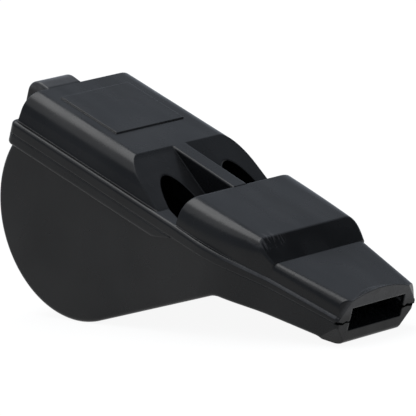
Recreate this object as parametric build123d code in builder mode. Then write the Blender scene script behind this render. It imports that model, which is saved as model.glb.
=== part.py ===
"""Pealess two-chamber sports whistle: an upper and a lower moulding, welded along a flange.

The whistle lies as it rests on a table, on its bulb and its lower lip, with the floor at z = 0.
+X points to the mouth and +Z up. Sizes are in millimetres.
Sketch sizes start at the front edge of the deck: x toward the mouth, y across, z square to the deck.
"""

import os
from math import asin, atan, atan2, cos, hypot, radians, sin, sqrt, tan

from build123d import *

# Outline of the whistle
rear_x = -19.05
mouth_x = 37.9
wall_half = 10.6
mouth_half = 7.05
taper_x = 18.3
waist_half = 8.4
taper_round = 20.0
bend_gap = 0.1
rear_round = 1.1

# Levels below the deck
flange_top_z = -3.85
parting_z = -5.45
flange_bottom_z = -7.15
ledge_z = -4.6
flange_lip = 0.6
flange_round = 0.5
ledge = 0.3
fall_round = 60.0
seam_bevel = 0.2
fade_x = 12.0

# Bulb
bulb_x = -6.2
bulb_z = -12.0
bulb_r = 13.7
bulb_front_slope = 36.2
side_draft = 1.2
bulb_edge_round = 0.5

# Beak
throat_x = 19.9
throat_round = 3.0
lip_z = -9.15
lip_round = 0.8
lip_depth = 2.5
lip_flare = 0.75
lip_corner_width = 2.5
lip_corner_depth = 3.0
lip_corner_drop = 0.3

# Deck, panel and rib
deck_edge_round = 2.8
deck_rear_round = 0.25
wall_lean = 9.0
ramp_end_x = 8.0
rib_half = 1.27
rib_drop = 0.25
rib_round = 0.25
panel_setback = 2.85
panel_front_x = -5.4
panel_margin = 4.5
panel_rise = 0.15

# Block, step and beak top
block_rear_x = 11.6
block_front_x = 23.6
block_drop = 0.3
block_shoulder = 3.2
block_round = 3.4
block_bend_inset = 0.35
block_front_shoulder = 0.9
block_front_round = 1.6
step_round = 0.45
step_end_x = 26.75
beak_top_z = -2.2
beak_end_z = -2.45
beak_shoulder = 1.6
beak_rear_shoulder = 1.0
beak_rear_round = 0.9
beak_round = 1.4
upper_lip_z = -1.5
upper_lip_depth = 2.0
upper_lip_sink = 0.15
upper_corner_depth = 1.0

# Chambers and windways
side_wall = 1.2
vault_half = 3.0
vault_rise = 3.7
web_half = 1.75
shell = 1.7
chamber_front_x = 11.6
chamber_front_round = 4.0
windway_roof = 1.85
windway_inset = 0.3
slot_wall = 2.2
slot_floor_z = -6.8
windway_land = 2.5
splitter_end_x = 27.0
splitter_end_half = 0.5

# Lanyard lug
lug_left_y = -6.0
lug_right_y = 0.2
lug_reach = 3.35
lug_root = 0.15
lug_crest_z = 0.1
lug_crest_reach = 1.25
lug_bottom_z = -5.0
lug_round = 1.9
lug_edge_round = 0.35
eye_r = 0.9
eye_reach = 1.85
eye_z = -3.15

# Weld joint
tongue_width = 0.7
tongue_depth = 0.6
weld_gap = 0.05

# Sizes that follow the width
flange_half = wall_half + flange_lip
waist_flange_half = waist_half + ledge
side_slope = (waist_flange_half - mouth_half) / (mouth_x - step_end_x)
taper_slope = (flange_half - waist_flange_half) / (step_end_x - taper_x)
flush_x = taper_x + flange_lip / taper_slope

# The two bends of the plan share the tapered wall between them, so its length limits their rounding
taper_turn = atan(taper_slope)
waist_turn = taper_turn - atan(side_slope)
taper_length = hypot(step_end_x - flush_x, wall_half - waist_flange_half)
taper_room = (taper_length - bend_gap) / (tan(taper_turn / 2) + tan(abs(waist_turn) / 2))
plan_round = min(taper_round, taper_room)

# Other sizes that follow
top_half = wall_half + parting_z * tan(radians(wall_lean))
nose_half = mouth_half - ledge
block_flat_half = wall_half - block_shoulder
block_bend_half = wall_half - block_bend_inset
ramp_foot_x = ramp_end_x * parting_z / flange_top_z
beak_flat_half = nose_half - beak_shoulder
slot_half = mouth_half - slot_wall
lip_corner_half = mouth_half - lip_corner_width
chamber_half = (wall_half - side_wall - web_half) / 2
chamber_y = web_half + chamber_half
vault_foot_half = vault_half * sqrt(1 - ((flange_top_z - parting_z) / vault_rise) ** 2)

# Places that follow the rear end
panel_rear_x = rear_x + panel_setback
lug_rear_x = rear_x - lug_reach
lug_front_x = rear_x + lug_root
lug_crest_x = rear_x - lug_crest_reach
eye_x = rear_x - eye_reach

# How the whistle rests: the floor touches the bulb and the rounded lower lip
lip_centre_x = mouth_x - lip_round
lip_slope = lip_flare / lip_depth
lip_centre_z = lip_z + lip_round * (lip_slope + hypot(1, lip_slope))
lip_run = lip_centre_x - bulb_x
lip_rise = lip_centre_z - bulb_z
rest_tilt = atan2(lip_rise, lip_run) + asin((bulb_r - lip_round) / hypot(lip_run, lip_rise))
rest_x = bulb_r / 2 - (bulb_x + mouth_x) / 2 * cos(rest_tilt) - (bulb_z + upper_lip_z) / 2 * sin(rest_tilt)
rest_z = bulb_r + bulb_x * sin(rest_tilt) - bulb_z * cos(rest_tilt)

# Work planes: the deck, the middle of the whistle seen from its side, and the seam
along = (cos(rest_tilt), 0, -sin(rest_tilt))
upward = (sin(rest_tilt), 0, cos(rest_tilt))
deck = Plane(origin=(rest_x, 0, rest_z), x_dir=along, z_dir=upward)
side = Plane(origin=(rest_x, 0, rest_z), x_dir=along, z_dir=(0, -1, 0))
seam = deck.offset(parting_z)
length_axis = Axis(deck.origin, along)
height_axis = Axis(deck.origin, upward)


def across(x):
    """A plane square to the whistle's length, with y to its right and z up."""
    return Plane(origin=deck.from_local_coords(Vector(x, 0, 0)), x_dir=(0, 1, 0), z_dir=along)


def nose_section(x, half, flat_half, top_z, drop):
    """One section of the block or the beak, with rounded shoulders."""
    with BuildSketch(across(x)) as section:
        with BuildLine():
            Line((-half, parting_z), (half, parting_z))
            Line((half, parting_z), (half, top_z - drop))
            Bezier((half, top_z - drop), (half, top_z), (flat_half, top_z))
            Line((flat_half, top_z), (-flat_half, top_z))
            Bezier((-flat_half, top_z), (-half, top_z), (-half, top_z - drop))
            Line((-half, top_z - drop), (-half, parting_z))
        make_face()
    return section.sketch


def lip_section(x, crest_z, end_z):
    """One section of the raised upper lip, with an arched top."""
    with BuildSketch(across(x)) as section:
        with BuildLine():
            ThreePointArc((-beak_flat_half, end_z), (0, crest_z), (beak_flat_half, end_z))
            Line((beak_flat_half, end_z), (beak_flat_half, parting_z))
            Line((beak_flat_half, parting_z), (-beak_flat_half, parting_z))
            Line((-beak_flat_half, parting_z), (-beak_flat_half, end_z))
        make_face()
    return section.sketch


def lip_corner(hand):
    """The slanted plane that takes off one lower corner of the mouth."""
    low_half = mouth_half + lip_corner_depth * side_slope + (lip_z - parting_z) * tan(radians(side_draft))
    top = deck.from_local_coords(Vector(mouth_x, hand * mouth_half, parting_z - lip_corner_drop))
    inner = deck.from_local_coords(Vector(mouth_x, hand * lip_corner_half, lip_z))
    outer = deck.from_local_coords(Vector(mouth_x - lip_corner_depth, hand * low_half, lip_z))
    outward = (inner - top).cross(outer - top) * hand
    return Plane(origin=top, x_dir=inner - top, z_dir=outward)


def upper_lip_corner(hand):
    """The slanted plane that takes off one upper corner of the mouth, down to the ledge."""
    behind_half = taper_half(mouth_x - upper_corner_depth)
    low = deck.from_local_coords(Vector(mouth_x, hand * nose_half, ledge_z))
    inner = deck.from_local_coords(Vector(mouth_x, hand * beak_flat_half, beak_end_z))
    outer = deck.from_local_coords(Vector(mouth_x - upper_corner_depth, hand * behind_half, beak_end_z))
    outward = (outer - low).cross(inner - low) * hand
    return Plane(origin=low, x_dir=inner - low, z_dir=outward)


def weld_plan(width):
    """A band of the given width along the weld, round the rear and both sides."""
    weld_y = (chamber_y + chamber_half + wall_half) / 2
    weld_rear_x = rear_x + shell / 2
    with BuildSketch(seam) as band:
        with BuildLine():
            Polyline(
                (block_rear_x, -weld_y),
                (weld_rear_x, -weld_y),
                (weld_rear_x, weld_y),
                (block_rear_x, weld_y),
            )
        trace(line_width=width)
    return band.sketch


def taper_half(x):
    """Half the width of the beak at x, whose sides run straight from the step to the mouth."""
    return waist_half + (nose_half - waist_half) * (x - step_end_x) / (mouth_x - step_end_x)


# Plan of the flange, shared by both mouldings
with BuildSketch(seam) as flange_plan:
    with BuildLine():
        Polyline(
            (rear_x - flange_lip, -flange_half),
            (rear_x - flange_lip, flange_half),
            (taper_x, flange_half),
            (step_end_x, waist_flange_half),
            (mouth_x, mouth_half),
            (mouth_x, -mouth_half),
            (step_end_x, -waist_flange_half),
            (taper_x, -flange_half),
            close=True,
        )
    make_face()
    fillet(flange_plan.vertices().sort_by(Axis.X)[2:6], plan_round)
    fillet(flange_plan.vertices().sort_by(Axis.X)[:2], rear_round)

# Plan of the two windways, which part round a splitter behind the mouth slot
windway_outer = chamber_y + chamber_half - windway_inset
windway_inner = chamber_y - chamber_half + windway_inset
windway_bend = (windway_outer + slot_half) / 2
with BuildSketch(seam) as windway_plan:
    with BuildLine():
        Polyline(
            (block_rear_x, -windway_outer),
            (block_front_x, -windway_bend),
            (mouth_x, -slot_half),
            (mouth_x, slot_half),
            (block_front_x, windway_bend),
            (block_rear_x, windway_outer),
            close=True,
        )
    make_face()
    with BuildLine():
        Polyline(
            (block_rear_x, -windway_inner),
            (splitter_end_x, -splitter_end_half),
            (splitter_end_x, splitter_end_half),
            (block_rear_x, windway_inner),
            close=True,
        )
    make_face(mode=Mode.SUBTRACT)

# Plan of the two windows at the foot of the ramp, where the vaults widen to the chambers
with BuildSketch(seam) as window_plan:
    with BuildLine():
        Polyline(
            (ramp_end_x, chamber_y - vault_foot_half),
            (block_rear_x, chamber_y - chamber_half),
            (block_rear_x, chamber_y + chamber_half),
            (ramp_end_x, chamber_y + vault_foot_half),
            close=True,
        )
    make_face()
    mirror(about=Plane.XZ)

# Upper half of the flange, whose top falls toward the mouth
with BuildPart() as upper_flange:
    extrude(flange_plan.sketch, amount=flange_top_z - parting_z)
    with BuildSketch(side) as flange_fall:
        with BuildLine():
            Polyline(
                (rear_x - shell, parting_z),
                (rear_x - shell, flange_top_z),
                (block_rear_x, flange_top_z),
                (mouth_x, ledge_z),
                (mouth_x, parting_z),
                close=True,
            )
        make_face()
        fillet(flange_fall.vertices().sort_by_distance((block_rear_x, flange_top_z))[0], fall_round)
    extrude(amount=flange_half, both=True, mode=Mode.INTERSECT)
    top_faces = upper_flange.faces().filter_by(lambda face: face.normal_at().dot(deck.z_dir) > 0.9)
    fillet(top_faces.edges().filter_by(Axis.Y, reverse=True), flange_round)

# Block and beak, drawn through sections that narrow toward the mouth
with BuildPart() as block:
    add(nose_section(block_rear_x, wall_half, block_flat_half, -block_drop, block_round))
    add(nose_section(taper_x, block_bend_half, block_flat_half, -block_drop, block_round))
    front_flat_half = waist_half - block_front_shoulder
    add(nose_section(step_end_x, waist_half, front_flat_half, -block_drop, block_front_round))
    loft()
    with BuildSketch(side):
        with BuildLine():
            Polyline(
                (block_front_x, -block_drop),
                (step_end_x, beak_top_z),
                (step_end_x, 0),
                (block_front_x, 0),
                close=True,
            )
        make_face()
    extrude(amount=flange_half, both=True, mode=Mode.SUBTRACT)
    step_x = (block_front_x + step_end_x) / 2
    step_middle = deck.from_local_coords(Vector(step_x, 0, (beak_top_z - block_drop) / 2))
    step_edges = block.faces().sort_by_distance(step_middle)[0].edges().sort_by(height_axis)
    fillet(step_edges[1:], step_round)

with BuildPart() as beak_top:
    rear_half = taper_half(block_front_x)
    add(nose_section(block_front_x, rear_half, rear_half - beak_rear_shoulder, beak_top_z, beak_rear_round))
    add(nose_section(mouth_x, nose_half, beak_flat_half, beak_end_z, beak_round))
    loft()
    with BuildPart(mode=Mode.PRIVATE) as upper_lip:
        lip_foot_z = beak_end_z - upper_lip_sink
        add(lip_section(mouth_x - upper_lip_depth, lip_foot_z, lip_foot_z - beak_round))
        add(lip_section(mouth_x, upper_lip_z, beak_end_z))
        loft()
    add(upper_lip.part)
    split(bisect_by=upper_lip_corner(1), keep=Keep.BOTTOM)
    split(bisect_by=upper_lip_corner(-1), keep=Keep.BOTTOM)

# Rib from the deck to the block, between the two windows
with BuildPart() as rib:
    with BuildSketch(side):
        with BuildLine():
            Polyline(
                (0, parting_z),
                (0, 0),
                (block_rear_x, -rib_drop),
                (block_rear_x, parting_z),
                close=True,
            )
        make_face()
    extrude(amount=rib_half, both=True)
    rib_edges = rib.faces().sort_by(height_axis)[-1].edges().filter_by(Axis.Y, reverse=True)
    fillet(rib_edges, rib_round)

# Lanyard lug, on one side of the middle, with its eye running across the whistle
with BuildPart() as lug:
    with BuildSketch(side.offset(-lug_right_y)) as lug_shape:
        with BuildLine():
            Polyline(
                (lug_front_x, lug_bottom_z),
                (lug_rear_x, lug_bottom_z),
                (lug_rear_x, lug_crest_z),
                (lug_crest_x, lug_crest_z),
                (lug_front_x, 0),
                close=True,
            )
        make_face()
        fillet(lug_shape.vertices().sort_by(Axis.X)[:3], lug_round)
    extrude(amount=lug_right_y - lug_left_y)
    lug_ends = lug.faces().filter_by(Axis.Y)
    fillet(lug_ends.edges(), lug_edge_round)
    with BuildSketch(side.offset(-lug_right_y)):
        with Locations((eye_x, eye_z)):
            Circle(eye_r)
    extrude(amount=lug_right_y - lug_left_y, mode=Mode.SUBTRACT)

with BuildPart() as upper_moulding:
    with BuildSketch(across(rear_x)) as deck_section:
        with BuildLine():
            Polyline(
                (-wall_half, parting_z),
                (-top_half, 0),
                (top_half, 0),
                (wall_half, parting_z),
                close=True,
            )
        make_face()
        fillet(deck_section.vertices().sort_by(Axis.Y)[-2:], deck_edge_round)
    extrude(amount=ramp_foot_x - rear_x)
    with BuildSketch(side):
        with BuildLine():
            Polyline(
                (rear_x, parting_z),
                (rear_x, 0),
                (0, 0),
                (ramp_foot_x, parting_z),
                close=True,
            )
        make_face()
    extrude(amount=wall_half, both=True, mode=Mode.INTERSECT)
    rear_edges = upper_moulding.faces().sort_by(length_axis)[0].edges().sort_by(height_axis)
    fillet(rear_edges[1:], deck_rear_round)
    add(upper_flange)
    add(block)
    add(beak_top)
    add(lug)
    with BuildSketch(deck):
        with BuildLine():
            Polyline(
                (panel_rear_x, panel_margin - wall_half),
                (panel_rear_x, wall_half - panel_margin),
                (panel_front_x, wall_half - panel_margin),
                (panel_front_x, panel_margin - wall_half),
                close=True,
            )
        make_face()
    extrude(amount=panel_rise)
    add(rib)
    with BuildSketch(across(rear_x + shell)):
        with Locations((-chamber_y, parting_z), (chamber_y, parting_z)):
            Ellipse(vault_half, vault_rise)
    extrude(amount=block_rear_x - rear_x - shell, mode=Mode.SUBTRACT)
    extrude(window_plan.sketch, amount=flange_top_z - parting_z, mode=Mode.SUBTRACT)
    extrude(windway_plan.sketch, amount=windway_roof, mode=Mode.SUBTRACT)
    extrude(weld_plan(tongue_width), amount=-tongue_depth)

# Lower half of the flange, which fades out under the windows
with BuildPart() as lower_flange:
    extrude(flange_plan.sketch, amount=flange_bottom_z - parting_z)
    bottom_edges = lower_flange.faces().sort_by(height_axis)[0].edges().sort_by(length_axis)
    fillet(bottom_edges[:-1], flange_round)
    seam_edges = lower_flange.faces().sort_by(height_axis)[-1].edges().sort_by(length_axis)
    chamfer(seam_edges[:-1], seam_bevel)
    with BuildSketch(side):
        with BuildLine():
            Polyline(
                (rear_x - shell, parting_z),
                (rear_x - shell, flange_bottom_z),
                (ramp_end_x, flange_bottom_z),
                (fade_x, parting_z),
                close=True,
            )
        make_face()
    extrude(amount=flange_half, both=True, mode=Mode.INTERSECT)

# Floor of the windways, which falls from the chambers to the mouth slot
with BuildPart() as windway_floor:
    extrude(windway_plan.sketch, amount=slot_floor_z - parting_z)
    with BuildSketch(side):
        with BuildLine():
            Polyline(
                (block_rear_x + windway_land, parting_z),
                (mouth_x, slot_floor_z),
                (mouth_x, parting_z),
                close=True,
            )
        make_face()
    extrude(amount=wall_half, both=True, mode=Mode.INTERSECT)

# Side profile of the bulb, and of the chamber one wall inside it
front_slope = radians(bulb_front_slope)
seam_height = parting_z - bulb_z
front_x = bulb_x + bulb_r * sin(front_slope)
front_z = bulb_z - bulb_r * cos(front_slope)
throat_z = front_z + (throat_x - front_x) * tan(front_slope)
past_rear_x = bulb_x - bulb_r - shell
past_mouth_x = mouth_x + shell
past_mouth_half = mouth_half - shell * side_slope
chamber_r = bulb_r - shell
hollow_x = bulb_x + chamber_r * sin(front_slope)
hollow_z = bulb_z - chamber_r * cos(front_slope)
hollow_end_z = hollow_z + (chamber_front_x - hollow_x) * tan(front_slope)

with BuildPart() as chamber:
    with BuildSketch(side.offset(chamber_y - chamber_half)) as chamber_shape:
        with BuildLine():
            rear_top = (bulb_x - sqrt(chamber_r**2 - seam_height**2), parting_z)
            arc_end = ThreePointArc(rear_top, (bulb_x, bulb_z - chamber_r), (hollow_x, hollow_z)) @ 1
            Polyline(
                arc_end,
                (chamber_front_x, hollow_end_z),
                (chamber_front_x, parting_z),
                rear_top,
            )
        make_face()
        chamber_foot = chamber_shape.vertices().sort_by_distance((chamber_front_x, hollow_end_z))[0]
        fillet(chamber_foot, chamber_front_round)
    extrude(amount=2 * chamber_half)

with BuildPart() as lower_moulding:
    with BuildSketch(seam) as bulb_plan:
        with BuildLine():
            Polyline(
                (past_rear_x, -wall_half),
                (past_rear_x, wall_half),
                (flush_x, wall_half),
                (step_end_x, waist_flange_half),
                (past_mouth_x, past_mouth_half),
                (past_mouth_x, -past_mouth_half),
                (step_end_x, -waist_flange_half),
                (flush_x, -wall_half),
                close=True,
            )
        make_face()
        fillet(bulb_plan.vertices().sort_by(Axis.X)[2:6], plan_round)
    extrude(amount=bulb_z - 2 * bulb_r, taper=side_draft)
    with BuildSketch(side) as bulb_shape:
        with BuildLine():
            rear_top = (bulb_x - sqrt(bulb_r**2 - seam_height**2), parting_z)
            arc_end = ThreePointArc(rear_top, (bulb_x, bulb_z - bulb_r), (front_x, front_z)) @ 1
            Polyline(
                arc_end,
                (throat_x, throat_z),
                (mouth_x - lip_depth, lip_z + lip_flare),
                (mouth_x, lip_z),
                (mouth_x, parting_z),
                rear_top,
            )
        make_face()
        fillet(bulb_shape.vertices().sort_by_distance((throat_x, throat_z))[0], throat_round)
        flare_foot = bulb_shape.vertices().sort_by_distance((mouth_x - lip_depth, lip_z + lip_flare))[0]
        fillet(flare_foot, throat_round)
        fillet(bulb_shape.vertices().sort_by_distance((mouth_x, lip_z))[0], lip_round)
    extrude(amount=wall_half, both=True, mode=Mode.INTERSECT)
    bulb_sides = lower_moulding.faces().sort_by(Axis.Y)
    near_edge = bulb_sides[0].edges().sort_by(height_axis)[0]
    far_edge = bulb_sides[-1].edges().sort_by(height_axis)[0]
    fillet([near_edge, far_edge], bulb_edge_round)
    split(bisect_by=lip_corner(1), keep=Keep.BOTTOM)
    split(bisect_by=lip_corner(-1), keep=Keep.BOTTOM)
    add(lower_flange)
    add(chamber, mode=Mode.SUBTRACT)
    mirror(chamber.part, about=side, mode=Mode.SUBTRACT)
    add(windway_floor, mode=Mode.SUBTRACT)
    extrude(weld_plan(tongue_width + 2 * weld_gap), amount=-tongue_depth - weld_gap, mode=Mode.SUBTRACT)

upper_moulding.part.label = "upper_moulding"
lower_moulding.part.label = "lower_moulding"

os.makedirs("parts", exist_ok=True)
export_step(upper_moulding.part, "parts/upper_moulding.step")
export_step(lower_moulding.part, "parts/lower_moulding.step")
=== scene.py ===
"""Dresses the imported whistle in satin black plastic, on a white floor under soft studio light.

Lengths are in metres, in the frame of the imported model, and angles in degrees.
Azimuth 0 looks along +Y, with +X to the right. The photograph shows the -Y side, called the near side.
"""

from math import cos, radians, sin

import bpy
from mathutils import Matrix, Vector

# Camera, at the photograph's viewing angle
camera_aim = Vector((-0.000422, -0.000323, 0.014418))
camera_azimuth = 45.555
camera_elevation = 10.165
camera_roll = -4.415
camera_distance = 0.6427
focal_length_px = 5000.0
image_px = 416.0
sensor_mm = 36.0

# Light
key_azimuth = -50.0
key_elevation = 63.0
key_irradiance = 1.25
key_spread = 60.0
glint_azimuth = -117.0
glint_elevation = 72.0
glint_irradiance = 1.7
glint_spread = 42.0
sky_colour = (0.548, 0.60, 0.685)

# Dark corner of the studio, which the step between block and beak mirrors
dark_azimuth = 138.0
dark_elevation = 31.0
dark_colour = (0.02, 0.02, 0.021)
dark_inner = 16.5
dark_outer = 21.5

# Floor
floor_half = 6.0
floor_colour = (0.9, 0.9, 0.9)
floor_white_share = 0.92

# Plastic
plastic_dark = (0.0034, 0.0036, 0.0039)
plastic_light = (0.0056, 0.0059, 0.0064)
plastic_ior = 1.26
roughness_low = 0.21
roughness_high = 0.31
specular_low = 0.43
specular_high = 0.56
mottle_size = 0.006
mottle_detail = 4.0
streak_size = 0.0035
streak_detail = 2.0
streak_stretch = Vector((0.25, 1.0, 0.25))
grain_size = 0.00022
grain_detail = 2.0
grain_height = 0.0000012
edge_softness = 0.00025
edge_samples = 8

# Nearly all of a noise lies between these
noise_low = 0.3
noise_high = 0.7

# Places on the plastic are given along the deck, across it and square to it, from its front edge
deck_tilt = 22.4396
deck_place = Vector((-0.005223, 0.0, 0.022425))

# Wear and painted highlights: one lighter colour, mixed in patches at a few places
wear_and_highlight_colour = (0.036, 0.036, 0.037)
wear_and_highlight_patch_size = 0.0011
wear_and_highlight_patch_detail = 3.0
wear_and_highlight_least = 0.75

# Mouth face above the slot, painted lighter
lip_lightening = 0.68
lip_start = 0.0375
lip_end = 0.0379
lip_low = -0.0052
lip_high = -0.0036

# Painted highlight on the top of the lug
lug_start = -0.0190
lug_end = -0.0194
lug_low = -0.0016
lug_high = -0.0008

# Painted reflection: the ramp in the near window made lighter, with light lines where walls meet its plane
ramp_reflection = 0.22
ramp_slope = 0.48125
ramp_start = 0.0002
ramp_end = 0.0082
ramp_fade = 0.0008
ramp_depth = 0.0003
ramp_side = 0.0005

# Scuffs on the block's front corner, on the near side
scuff_wear = 0.6
scuff_size = 0.0004
scuff_detail = 2.0
scuff_least = 0.5
scuff_most = 0.62
scuff_start = 0.0218
scuff_end = 0.0236
scuff_low = -0.0014
scuff_high = -0.0007
scuff_inner = -0.0035
scuff_outer = -0.0060

# Painted highlight along the rim of the flange beside the beak, which falls toward the mouth
rim_highlight = 1.0
rim_height = -0.003719
rim_slope = 0.028517
rim_half = 0.00012
rim_fade = 0.0001
rim_start = 0.0180
rim_full = 0.0240
rim_end = 0.0374

# Painted shade of the open seam beside the mouth slot: a near-black line without gloss
open_seam_shade_colour = (0.0008, 0.0008, 0.0008)
seam_height = -0.00545
seam_half = 0.00008
seam_fade = 0.0002
seam_waver = 0.0006
seam_waver_size = 0.0009
seam_waver_detail = 1.0
seam_start = 0.0371
seam_end = 0.0377


def toward(azimuth, elevation):
    """The unit vector from the object to a place seen at that azimuth and elevation."""
    turn = radians(azimuth)
    rise = radians(elevation)
    return Vector((sin(turn) * cos(rise), -cos(turn) * cos(rise), sin(rise)))


def opaque(colour):
    """A colour with its alpha."""
    return (*colour, 1.0)


class Graph:
    """A node tree, with short ways to add nodes. Each gives back the new node's output."""

    def __init__(self, tree):
        self.nodes = tree.nodes
        self.links = tree.links

    def coordinates(self, kind):
        """Texture coordinates of one kind."""
        return self.nodes.new("ShaderNodeTexCoord").outputs[kind]

    def move(self, operation, vector, fixed):
        """A vector changed by a fixed one."""
        node = self.nodes.new("ShaderNodeVectorMath")
        node.operation = operation
        node.inputs[1].default_value = fixed
        self.links.new(vector, node.inputs[0])
        return node.outputs["Vector"]

    def dot(self, vector, fixed):
        """How far a vector reaches in the direction of a fixed one."""
        node = self.nodes.new("ShaderNodeVectorMath")
        node.operation = "DOT_PRODUCT"
        node.inputs[1].default_value = fixed
        self.links.new(vector, node.inputs[0])
        return node.outputs["Value"]

    def combine(self, operation, first, second=0.0):
        """Two values put together. The second may be a plain number."""
        node = self.nodes.new("ShaderNodeMath")
        node.operation = operation
        self.links.new(first, node.inputs[0])
        if isinstance(second, float):
            node.inputs[1].default_value = second
        else:
            self.links.new(second, node.inputs[1])
        return node.outputs[0]

    def product(self, *shares):
        """Several values multiplied. All but the first may be plain numbers."""
        result = shares[0]
        for share in shares[1:]:
            result = self.combine("MULTIPLY", result, share)
        return result

    def fade(self, value, start, end, low=0.0, high=1.0):
        """A value that goes smoothly from low to high while another goes from start to end."""
        node = self.nodes.new("ShaderNodeMapRange")
        node.interpolation_type = "SMOOTHSTEP"
        node.inputs["From Min"].default_value = start
        node.inputs["From Max"].default_value = end
        node.inputs["To Min"].default_value = low
        node.inputs["To Max"].default_value = high
        self.links.new(value, node.inputs["Value"])
        return node.outputs["Result"]

    def blend(self, share, first, second):
        """A colour that turns into a plain second one with the share. The first may be plain too."""
        node = self.nodes.new("ShaderNodeMix")
        node.data_type = "RGBA"
        if isinstance(first, tuple):
            node.inputs["A"].default_value = opaque(first)
        else:
            self.links.new(first, node.inputs["A"])
        node.inputs["B"].default_value = opaque(second)
        self.links.new(share, node.inputs["Factor"])
        return node.outputs["Result"]


class Skin(Graph):
    """The plastic's node tree, which also knows where on the whistle each point lies."""

    def __init__(self, tree):
        super().__init__(tree)
        tilt = radians(deck_tilt)
        self.place = self.coordinates("Object")
        offset = self.move("SUBTRACT", self.place, deck_place)
        self.length = self.dot(offset, Vector((cos(tilt), 0.0, -sin(tilt))))
        self.across = self.dot(offset, Vector((0.0, 1.0, 0.0)))
        self.height = self.dot(offset, Vector((sin(tilt), 0.0, cos(tilt))))

    def noise(self, size, detail, stretch=Vector((1.0, 1.0, 1.0))):
        """A noise whose patches have about the given size, and are longer where the stretch is below 1."""
        node = self.nodes.new("ShaderNodeTexNoise")
        node.inputs["Scale"].default_value = 1.0 / size
        node.inputs["Detail"].default_value = detail
        self.links.new(self.move("MULTIPLY", self.place, stretch), node.inputs["Vector"])
        return node.outputs["Fac"]

    def distance_from_line(self, height, start, slope):
        """How far a height is from a line that begins at a start and falls by a slope along the deck."""
        fall = self.combine("MULTIPLY", self.length, slope)
        level = self.combine("ADD", height, fall)
        return self.combine("ABSOLUTE", self.combine("SUBTRACT", level, start))


def add_camera():
    """The photograph's camera, turned a little about its own axis."""
    data = bpy.data.cameras.new("camera")
    data.sensor_fit = "HORIZONTAL"
    data.sensor_width = sensor_mm
    data.lens = focal_length_px / image_px * sensor_mm
    camera = bpy.data.objects.new("camera", data)
    turn = Matrix.Rotation(radians(camera_azimuth), 4, "Z")
    tilt = Matrix.Rotation(radians(90.0 - camera_elevation), 4, "X")
    roll = Matrix.Rotation(radians(camera_roll), 4, "Z")
    place = camera_aim + camera_distance * toward(camera_azimuth, camera_elevation)
    camera.matrix_world = Matrix.Translation(place) @ turn @ tilt @ roll
    bpy.context.scene.collection.objects.link(camera)
    bpy.context.scene.camera = camera


def add_light(name, azimuth, elevation, irradiance, spread):
    """One distant light, as wide as its spread."""
    data = bpy.data.lights.new(name, "SUN")
    data.energy = irradiance
    data.angle = radians(spread)
    lamp = bpy.data.objects.new(name, data)
    lamp.rotation_mode = "QUATERNION"
    lamp.rotation_quaternion = toward(azimuth, elevation).to_track_quat("Z", "Y")
    bpy.context.scene.collection.objects.link(lamp)


def add_world():
    """An even, bright studio with one dark corner."""
    world = bpy.data.worlds.new("studio")
    world.use_nodes = True
    bpy.context.scene.world = world
    graph = Graph(world.node_tree)
    facing = graph.dot(graph.coordinates("Generated"), toward(dark_azimuth, dark_elevation))
    share = graph.fade(facing, cos(radians(dark_outer)), cos(radians(dark_inner)))
    colour = graph.blend(share, sky_colour, dark_colour)
    graph.links.new(colour, graph.nodes["Background"].inputs["Color"])


def floor_material():
    """White to the eye and to reflections, and still shaded by the whistle."""
    material = bpy.data.materials.new("white_floor")
    material.use_nodes = True
    graph = Graph(material.node_tree)
    nodes = graph.nodes
    links = graph.links
    nodes.clear()
    surface = nodes.new("ShaderNodeBsdfDiffuse")
    surface.inputs["Color"].default_value = opaque(floor_colour)
    white = nodes.new("ShaderNodeEmission")
    rays = nodes.new("ShaderNodeLightPath")
    seen = graph.combine("MAXIMUM", rays.outputs["Is Camera Ray"], rays.outputs["Is Glossy Ray"])
    seen_through = graph.combine("MAXIMUM", seen, rays.outputs["Is Transmission Ray"])
    share = graph.combine("MULTIPLY", seen_through, floor_white_share)
    mixed = nodes.new("ShaderNodeMixShader")
    output = nodes.new("ShaderNodeOutputMaterial")
    links.new(share, mixed.inputs["Fac"])
    links.new(surface.outputs["BSDF"], mixed.inputs[1])
    links.new(white.outputs["Emission"], mixed.inputs[2])
    links.new(mixed.outputs["Shader"], output.inputs["Surface"])
    return material


def add_floor():
    """A plain floor under the whistle."""
    corners = [(-1, -1), (1, -1), (1, 1), (-1, 1)]
    mesh = bpy.data.meshes.new("floor")
    mesh.from_pydata([(x * floor_half, y * floor_half, 0.0) for x, y in corners], [], [(0, 1, 2, 3)])
    mesh.materials.append(floor_material())
    floor = bpy.data.objects.new("floor", mesh)
    bpy.context.scene.collection.objects.link(floor)


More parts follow.
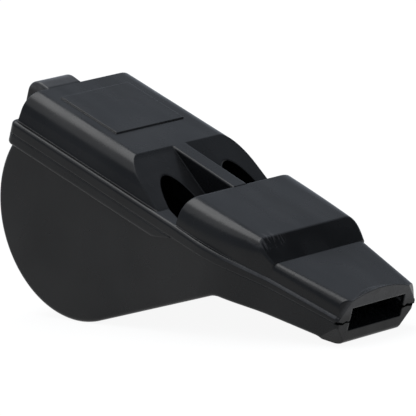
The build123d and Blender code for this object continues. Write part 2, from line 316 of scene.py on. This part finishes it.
def wear_and_highlight_share(skin):
    """How far the lighter colour is mixed in: nothing but in five places, and patchy there. The block's
    scuffs are wear, the lug's top and the beak's rim carry painted highlights, the near ramp a painted
    reflection, and the mouth face above the slot is painted lighter.
    """
    # The mouth face above the slot, painted lighter
    lip = skin.product(
        skin.fade(skin.length, lip_start, lip_end),
        skin.fade(skin.height, lip_low, lip_high),
        lip_lightening,
    )
    # Painted highlight on the lug's top
    lug = skin.product(
        skin.fade(skin.length, lug_start, lug_end),
        skin.fade(skin.height, lug_low, lug_high),
    )
    # Painted reflection on the ramp in the near window
    off_ramp = skin.distance_from_line(skin.height, 0.0, ramp_slope)
    painted_ramp_reflection = skin.product(
        skin.fade(off_ramp, ramp_depth, 0.0),
        skin.fade(skin.length, ramp_start, ramp_start + ramp_fade),
        skin.fade(skin.length, ramp_end, ramp_end - ramp_fade),
        skin.fade(skin.across, ramp_side, -ramp_side),
        ramp_reflection,
    )
    scuff_streaks = skin.noise(scuff_size, scuff_detail, streak_stretch)
    scuffs = skin.product(
        skin.fade(skin.length, scuff_start, scuff_end),
        skin.fade(skin.height, scuff_low, scuff_high),
        skin.fade(skin.across, scuff_inner, scuff_outer),
        skin.fade(scuff_streaks, scuff_least, scuff_most),
        scuff_wear,
    )
    # Painted highlight along the flange's rim beside the beak
    off_rim = skin.distance_from_line(skin.height, rim_height, rim_slope)
    rim = skin.product(
        skin.fade(off_rim, rim_half + rim_fade, rim_half),
        skin.fade(skin.length, rim_start, rim_full),
        skin.fade(skin.length, rim_end, rim_end - rim_fade),
        rim_highlight,
    )
    share = lip
    for place in (lug, painted_ramp_reflection, scuffs, rim):
        share = skin.combine("MAXIMUM", share, place)
    patches = skin.noise(wear_and_highlight_patch_size, wear_and_highlight_patch_detail)
    return skin.product(share, skin.fade(patches, noise_low, noise_high, wear_and_highlight_least))


def open_seam_shade_share(skin):
    """Where the seam stands open: a wavering line beside the mouth slot, painted near black as the shade
    in the gap.
    """
    noise = skin.noise(seam_waver_size, seam_waver_detail)
    waver = skin.fade(noise, 0.0, 1.0, -seam_waver / 2, seam_waver / 2)
    off_seam = skin.distance_from_line(skin.combine("ADD", skin.height, waver), seam_height, 0.0)
    return skin.product(
        skin.fade(off_seam, seam_half + seam_fade, seam_half),
        skin.fade(skin.length, seam_start, seam_end),
    )


def plastic_material():
    """Black moulded plastic: satin, with a faint mottle and streaks, a fine grain, soft edges, wear,
    painted highlights and a painted reflection, and the open seam painted near black as its shade.
    """
    material = bpy.data.materials.new("black_plastic")
    material.use_nodes = True
    skin = Skin(material.node_tree)
    nodes = skin.nodes
    links = skin.links
    shader = nodes["Principled BSDF"]
    shader.inputs["IOR"].default_value = plastic_ior
    seam = open_seam_shade_share(skin)

    mottle = skin.noise(mottle_size, mottle_detail)
    tint = skin.blend(mottle, plastic_dark, plastic_light)
    # Lighter colour mixed in: wear on the block's corner, painted highlights and a painted reflection
    # elsewhere
    tint_with_wear_and_highlights = skin.blend(wear_and_highlight_share(skin), tint, wear_and_highlight_colour)
    # Painted shade: the open seam turned near black
    with_painted_seam_shade = skin.blend(seam, tint_with_wear_and_highlights, open_seam_shade_colour)
    links.new(with_painted_seam_shade, shader.inputs["Base Color"])

    roughness = skin.fade(mottle, noise_low, noise_high, roughness_low, roughness_high)
    links.new(roughness, shader.inputs["Roughness"])

    streaks = skin.noise(streak_size, streak_detail, streak_stretch)
    gloss = skin.fade(streaks, noise_low, noise_high, specular_low, specular_high)
    # No gloss on the painted seam shade
    outside_seam = skin.fade(seam, 0.0, 1.0, 1.0, 0.0)
    links.new(skin.product(gloss, outside_seam), shader.inputs["Specular IOR Level"])

    bump = nodes.new("ShaderNodeBump")
    bump.inputs["Distance"].default_value = grain_height
    soft_edges = nodes.new("ShaderNodeBevel")
    soft_edges.samples = edge_samples
    soft_edges.inputs["Radius"].default_value = edge_softness
    links.new(skin.noise(grain_size, grain_detail), bump.inputs["Height"])
    links.new(soft_edges.outputs["Normal"], bump.inputs["Normal"])
    links.new(bump.outputs["Normal"], shader.inputs["Normal"])
    return material


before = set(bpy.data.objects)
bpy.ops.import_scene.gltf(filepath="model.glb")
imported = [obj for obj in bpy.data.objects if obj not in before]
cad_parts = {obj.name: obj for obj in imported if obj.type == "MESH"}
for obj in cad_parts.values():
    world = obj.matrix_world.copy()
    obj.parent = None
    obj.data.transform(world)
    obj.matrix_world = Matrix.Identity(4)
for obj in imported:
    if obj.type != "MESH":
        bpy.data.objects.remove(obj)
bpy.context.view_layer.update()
bpy.context.scene.view_settings.view_transform = "Standard"
plastic = plastic_material()
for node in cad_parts.values():
    node.data.materials.clear()
    node.data.materials.append(plastic)
add_camera()
add_light("key_light", key_azimuth, key_elevation, key_irradiance, key_spread)
add_light("glint_light", glint_azimuth, glint_elevation, glint_irradiance, glint_spread)
add_world()
add_floor()
